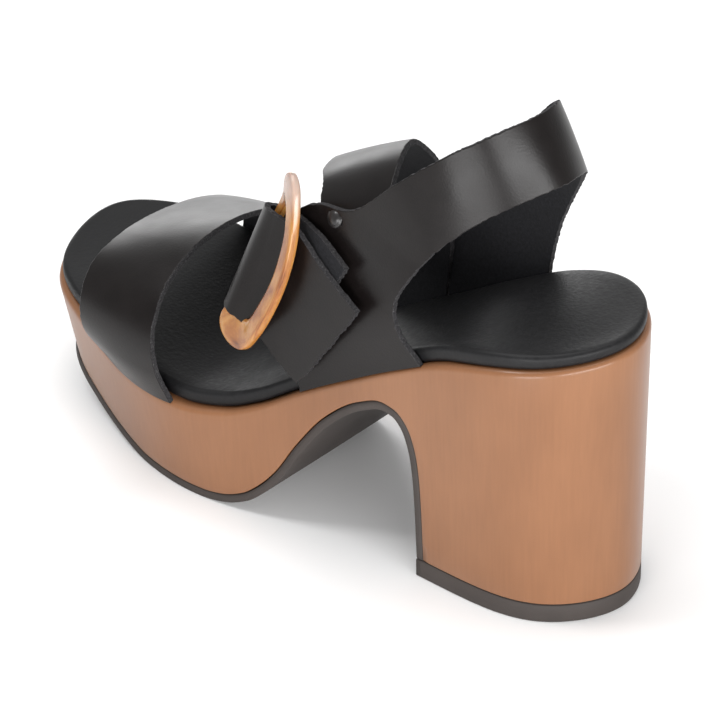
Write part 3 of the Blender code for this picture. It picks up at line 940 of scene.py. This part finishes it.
toe_strap = cut_strap("toe_strap", toe_sheet, "toe_band")

# %% Slingback and outer quarter
SLINGBACK = (
    StrapRow(56.6, 32.2, 81.0, 104.0, 32.8, 52.9),
    StrapRow(64.0, 33.0, 90.0, 106.0, 33.4, 76.0),
    StrapRow(65.8, 32.6, 98.0, 109.4, 29.8, 98.0),
    StrapRow(64.6, 32.3, 103.0, 109.6, 26.6, 112.6),
    StrapRow(61.6, 31.5, 108.5, 100.4, 27.8, 119.6),
    StrapRow(57.6, 30.3, 115.0, 86.0, 29.0, 123.4),
    StrapRow(51.8, 28.5, 122.7, 66.8, 28.6, 141.0),
    StrapRow(41.2, 23.0, 133.6, 51.2, 23.8, 154.2),
    StrapRow(31.4, 13.0, 140.6, 41.0, 14.2, 161.2),
    StrapRow(26.6, 0.0, 142.6, 37.2, 0.0, 162.6),
    StrapRow(30.0, -12.5, 139.4, 41.0, -13.0, 159.8),
    StrapRow(37.6, -22.0, 130.4, 51.0, -21.8, 151.0),
    StrapRow(46.0, -27.4, 117.0, 65.0, -27.0, 135.0),
    StrapRow(52.4, -29.6, 104.0, 83.0, -30.4, 115.0),
    StrapRow(55.6, -30.6, 92.0, 94.0, -31.6, 93.0),
    StrapRow(56.0, -30.0, 81.4, 94.0, -26.4, 59.0),
)
sling_sheet = strip(SLINGBACK, per_span=24, across=16, belly=0.3, foot_start=True, foot_end=False,
                    fade=0.12)
sling_strap = cut_strap("sling_strap", sling_sheet, "strap_upper")

# %% Instep strap
INSTEP_STRAP = (
    StrapRow(75.4, 29.0, 96.0, 100.0, 28.6, 90.0),
    StrapRow(75.6, 27.4, 110.0, 101.6, 25.6, 105.6),
    StrapRow(76.6, 24.8, 120.5, 103.2, 23.8, 115.6),
    StrapRow(78.8, 18.8, 128.2, 107.8, 17.6, 118.2),
    StrapRow(83.4, 9.6, 132.6, 115.0, 9.4, 116.8),
    StrapRow(90.1, -3.0, 131.1, 121.4, -3.5, 112.8),
    StrapRow(94.2, -14.0, 122.8, 128.0, -15.0, 103.0),
    StrapRow(94.8, -22.0, 112.0, 133.4, -24.0, 88.0),
    StrapRow(94.6, -26.2, 98.0, 136.0, -29.0, 72.0),
    StrapRow(94.4, -27.2, 80.0, 135.4, -32.0, 55.0),
    StrapRow(94.8, -25.4, 58.6, 133.6, -30.0, 37.0),
)
instep_sheet = strip(INSTEP_STRAP, per_span=24, across=16, belly=0.5, foot_end=False)
instep_strap = cut_strap("instep_strap", instep_sheet, "strap_upper")

# %% [markdown]
# Closure
#
# The fastening strip doubles round the buckle's straight bar. One end lies on the outer quarter, and
# the other comes back over it, passes under the bowed bar and ends in a square cut. Two flat pieces
# could stand for the two layers, but one strip keeps the fold round and whole.

# %% Closure strip
CLOSURE = (
    StrapRow(83.0, 34.8, 106.0, 106.0, 35.6, 70.0),
    StrapRow(97.0, 32.2, 112.4, 114.0, 36.4, 72.4),
    StrapRow(114.6, 27.8, 112.6, 124.8, 36.2, 74.8),
    StrapRow(119.8, 29.6, 112.4, 128.7, 39.8, 78.4),
    StrapRow(116.6, 33.2, 113.6, 126.0, 42.6, 77.6),
    StrapRow(111.4, 34.6, 113.8, 120.4, 42.2, 75.6),
    StrapRow(103.6, 35.2, 112.8, 113.8, 40.6, 71.2),
    StrapRow(92.0, 36.8, 105.0, 108.8, 39.0, 65.0),
    StrapRow(75.9, 37.8, 94.7, 101.2, 38.0, 58.8),
)
closure_sheet = fray_ends(strip(CLOSURE, per_span=28, across=36))
closure_strap = cut_strap("closure_strap", closure_sheet, "strap_upper")

# %% [markdown]
# Rivet
#
# Just behind the buckle a small round black head shows where the quarter and the instep strap cross.
# A lathe would make it, and Spin works like a lathe: a short profile is drawn on one side of an axis
# that stands square on the leather, and is turned through a full circle. Each line of the profile is
# turned by itself, because Spin hands over the faces of several lines in no fixed order.

# %% Rivet lacquer
lacquer, tree, shader = new_finish("rivet_lacquer", roughness=0.3, specular=0.5)
worn = cloudy(tree, place_on_piece(tree), scale=700.0, detail=2.0)
tint(tree, shader, worn, ((0.3, (0.010, 0.009, 0.009)), (0.7, (0.016, 0.014, 0.014))))
count_nodes(lacquer)

# %% Rivet head
RivetPoint = namedtuple("RivetPoint", "radius height")
RIVET_AT = Vector((92.4, 29.7, 118.4))
RIVET_AXIS = Vector((0.1, 0.93, 0.35)).normalized()
RIVET_STEPS = 40
RIVET_PROFILE = (
    RivetPoint(0.0, 1.5), RivetPoint(1.1, 1.4), RivetPoint(1.9, 1.1), RivetPoint(2.4, 0.7),
    RivetPoint(2.55, 0.45), RivetPoint(3.0, 0.4), RivetPoint(3.15, 0.1), RivetPoint(3.0, -0.4),
    RivetPoint(0.0, -0.4),
)
one_side = RIVET_AXIS.cross(Vector((0.0, 0.0, 1.0))).normalized()
hub = shoe(*RIVET_AT)
spindle = (shoe(*(RIVET_AT + RIVET_AXIS)) - hub).normalized()
lathe = bmesh.new()
profile = [shoe(*(RIVET_AT + RIVET_AXIS * p.height + one_side * p.radius)) for p in RIVET_PROFILE]
for start, stop in zip(profile, profile[1:]):
    line = [lathe.verts.new(start), lathe.verts.new(stop)]
    line.append(lathe.edges.new(line))
    bmesh.ops.spin(lathe, geom=line, cent=hub, axis=spindle, angle=2 * math.pi,
                   steps=RIVET_STEPS, use_merge=True)
bmesh.ops.remove_doubles(lathe, verts=lathe.verts, dist=WELD)
bmesh.ops.recalc_face_normals(lathe, faces=lathe.faces)
rivet_head = make_piece("rivet_head", lathe, [lacquer])
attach(rivet_head, "root")
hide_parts("strap_upper")

# %% [markdown]
# Buckle
#
# The frame is one casting with a long hole: a straight bar inside the fold of the strip and a bowed bar
# over its end, which meet in a solid corner below. A curve with a round bevel could be bent into such a
# ring, but this bar changes in width and fills its corner. So two closed lines draw it, the outer
# outline and the edge of the hole, and the section between them is a soft rectangle.

# %% Outline and hole of the frame
FramePair = namedtuple("FramePair", "outer_s outer_w outer_z hole_s hole_w hole_z thick")
BUCKLE_PAIRS = (
    FramePair(120.1, 31.8, 100.2, 117.1, 33.4, 99.8, 2.4),
    FramePair(123.4, 34.9, 88.2, 120.2, 36.7, 87.8, 2.5),
    FramePair(127.2, 38.2, 78.8, 123.0, 40.0, 79.2, 2.8),
    FramePair(129.8, 40.2, 75.0, 122.0, 39.6, 79.4, 3.2),
    FramePair(130.2, 41.4, 70.2, 121.2, 40.2, 79.0, 3.5),
    FramePair(126.6, 42.8, 66.6, 120.4, 40.6, 77.9, 3.6),
    FramePair(119.6, 44.2, 66.2, 119.2, 41.2, 77.0, 3.6),
    FramePair(114.0, 45.2, 71.4, 117.0, 42.2, 77.8, 3.5),
    FramePair(109.0, 45.6, 79.0, 114.2, 42.8, 81.2, 3.4),
    FramePair(103.8, 44.2, 90.7, 109.0, 41.2, 92.1, 3.2),
    FramePair(101.0, 42.2, 101.3, 106.3, 39.5, 101.5, 3.2),
    FramePair(100.4, 39.2, 112.5, 105.4, 37.0, 111.5, 3.2),
    FramePair(102.2, 36.0, 121.2, 106.6, 34.9, 117.2, 3.2),
    FramePair(104.4, 33.6, 126.8, 107.2, 34.2, 118.4, 3.2),
    FramePair(108.2, 31.2, 128.8, 107.9, 33.4, 118.7, 3.2),
    FramePair(111.4, 29.8, 126.4, 108.7, 32.6, 118.3, 3.0),
    FramePair(112.6, 29.5, 120.6, 109.8, 31.8, 117.0, 2.7),
    FramePair(115.9, 29.6, 112.6, 113.0, 31.2, 111.8, 2.5),
)
print("frame through", len(BUCKLE_PAIRS), "pairs of places")

# %% Buckle frame
BAR_SIDES = 32
BAR_STEPS = 12
SQUARENESS = 0.5


def buckle_sections():
    path = round_curve(BUCKLE_PAIRS, BAR_STEPS)
    path = np.vstack([path, path[:1]])
    plane = np.linalg.svd(path[:, :3] - path[:, :3].mean(axis=0))[2][2]
    plane = plane if plane[1] > 0 else -plane
    sections = []
    for row in path:
        outer, hole, thick = row[:3], row[3:6], row[6]
        across = (outer - hole) / 2
        along = across / np.linalg.norm(across)
        face = plane - along * np.dot(plane, along)
        face /= np.linalg.norm(face)
        section = []
        for turn in np.linspace(-math.pi / 2, 3 * math.pi / 2, BAR_SIDES + 1):
            side = math.copysign(abs(math.cos(turn)) ** SQUARENESS, math.cos(turn))
            up = math.copysign(abs(math.sin(turn)) ** SQUARENESS, math.sin(turn))
            section.append((outer + hole) / 2 + across * side + face * up * thick / 2)
        section[-1] = section[0]
        sections.append(section)
    return np.array(sections)


buckle_frame = wrap_grid("buckle_frame", buckle_sections(), [horn])
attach(buckle_frame, "root")
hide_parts("buckle")

# %% [markdown]
# Studio
#
# The photograph was taken in a white studio: a bright floor, a large soft light overhead, and softer
# ones at the sides. A black shoe is drawn by what it reflects, so the size and place of the lights
# matter more than their strength.

# %% Floor
FLOOR_HALF = 3.0
pale, tree, shader = new_finish("pale_floor", roughness=0.6, specular=0.2)
paper = cloudy(tree, place_on_piece(tree), scale=3.0, detail=2.0)
tint(tree, shader, paper, ((0.0, (0.93, 0.93, 0.93)), (1.0, (0.95, 0.95, 0.95))))
count_nodes(pale)
floor_mesh = bpy.data.meshes.new("floor")
sheet_of_paper = bmesh.new()
bmesh.ops.create_grid(sheet_of_paper, x_segments=2, y_segments=2, size=FLOOR_HALF)
sheet_of_paper.to_mesh(floor_mesh)
sheet_of_paper.free()
floor_mesh.materials.append(pale)
floor = bpy.data.objects.new("floor", floor_mesh)
bpy.context.scene.collection.objects.link(floor)

# %% Lights
Light = namedtuple("Light", "name place target wide tall power")
LIGHTS = (
    Light("overhead", (-0.2, -0.24, 1.35), (0.0, 0.0, 0.0), 1.1, 1.1, 11.0),
    Light("backdrop", (-1.2, -1.1, 0.18), (0.0, 0.0, 0.06), 1.2, 0.36, 5.2),
    Light("key", (0.42, 1.42, 0.34), (0.0, 0.03, 0.08), 1.3, 0.42, 20.0),
    Light("side card", (0.36, 0.2, 0.095), (0.0, 0.12, 0.105), 0.22, 0.14, 0.8),
    Light("shoulder light", (0.4, -0.45, 1.1), (0.0, 0.05, 0.08), 0.3, 0.3, 4.0),
)
for light in LIGHTS:
    lamp_data = bpy.data.lights.new(light.name, "AREA")
    lamp_data.shape = "RECTANGLE"
    lamp_data.size = light.wide
    lamp_data.size_y = light.tall
    lamp_data.energy = light.power
    lamp = bpy.data.objects.new(light.name, lamp_data)
    lamp.location = light.place
    lamp.visible_camera = False
    lamp.rotation_mode = "QUATERNION"
    lamp.rotation_quaternion = (Vector(light.target) - Vector(light.place)).to_track_quat("-Z", "Y")
    bpy.context.scene.collection.objects.link(lamp)
print(len(LIGHTS), "lights")

# %% White surroundings
SURROUND_STRENGTH = 0.46
studio = bpy.data.worlds.new("studio")
studio.use_nodes = True
studio.node_tree.nodes["Background"].inputs["Color"].default_value = (1.0, 1.0, 1.0, 1.0)
studio.node_tree.nodes["Background"].inputs["Strength"].default_value = SURROUND_STRENGTH
bpy.context.scene.world = studio
bpy.context.scene.view_settings.view_transform = "Standard"
print("white surroundings at strength", SURROUND_STRENGTH)
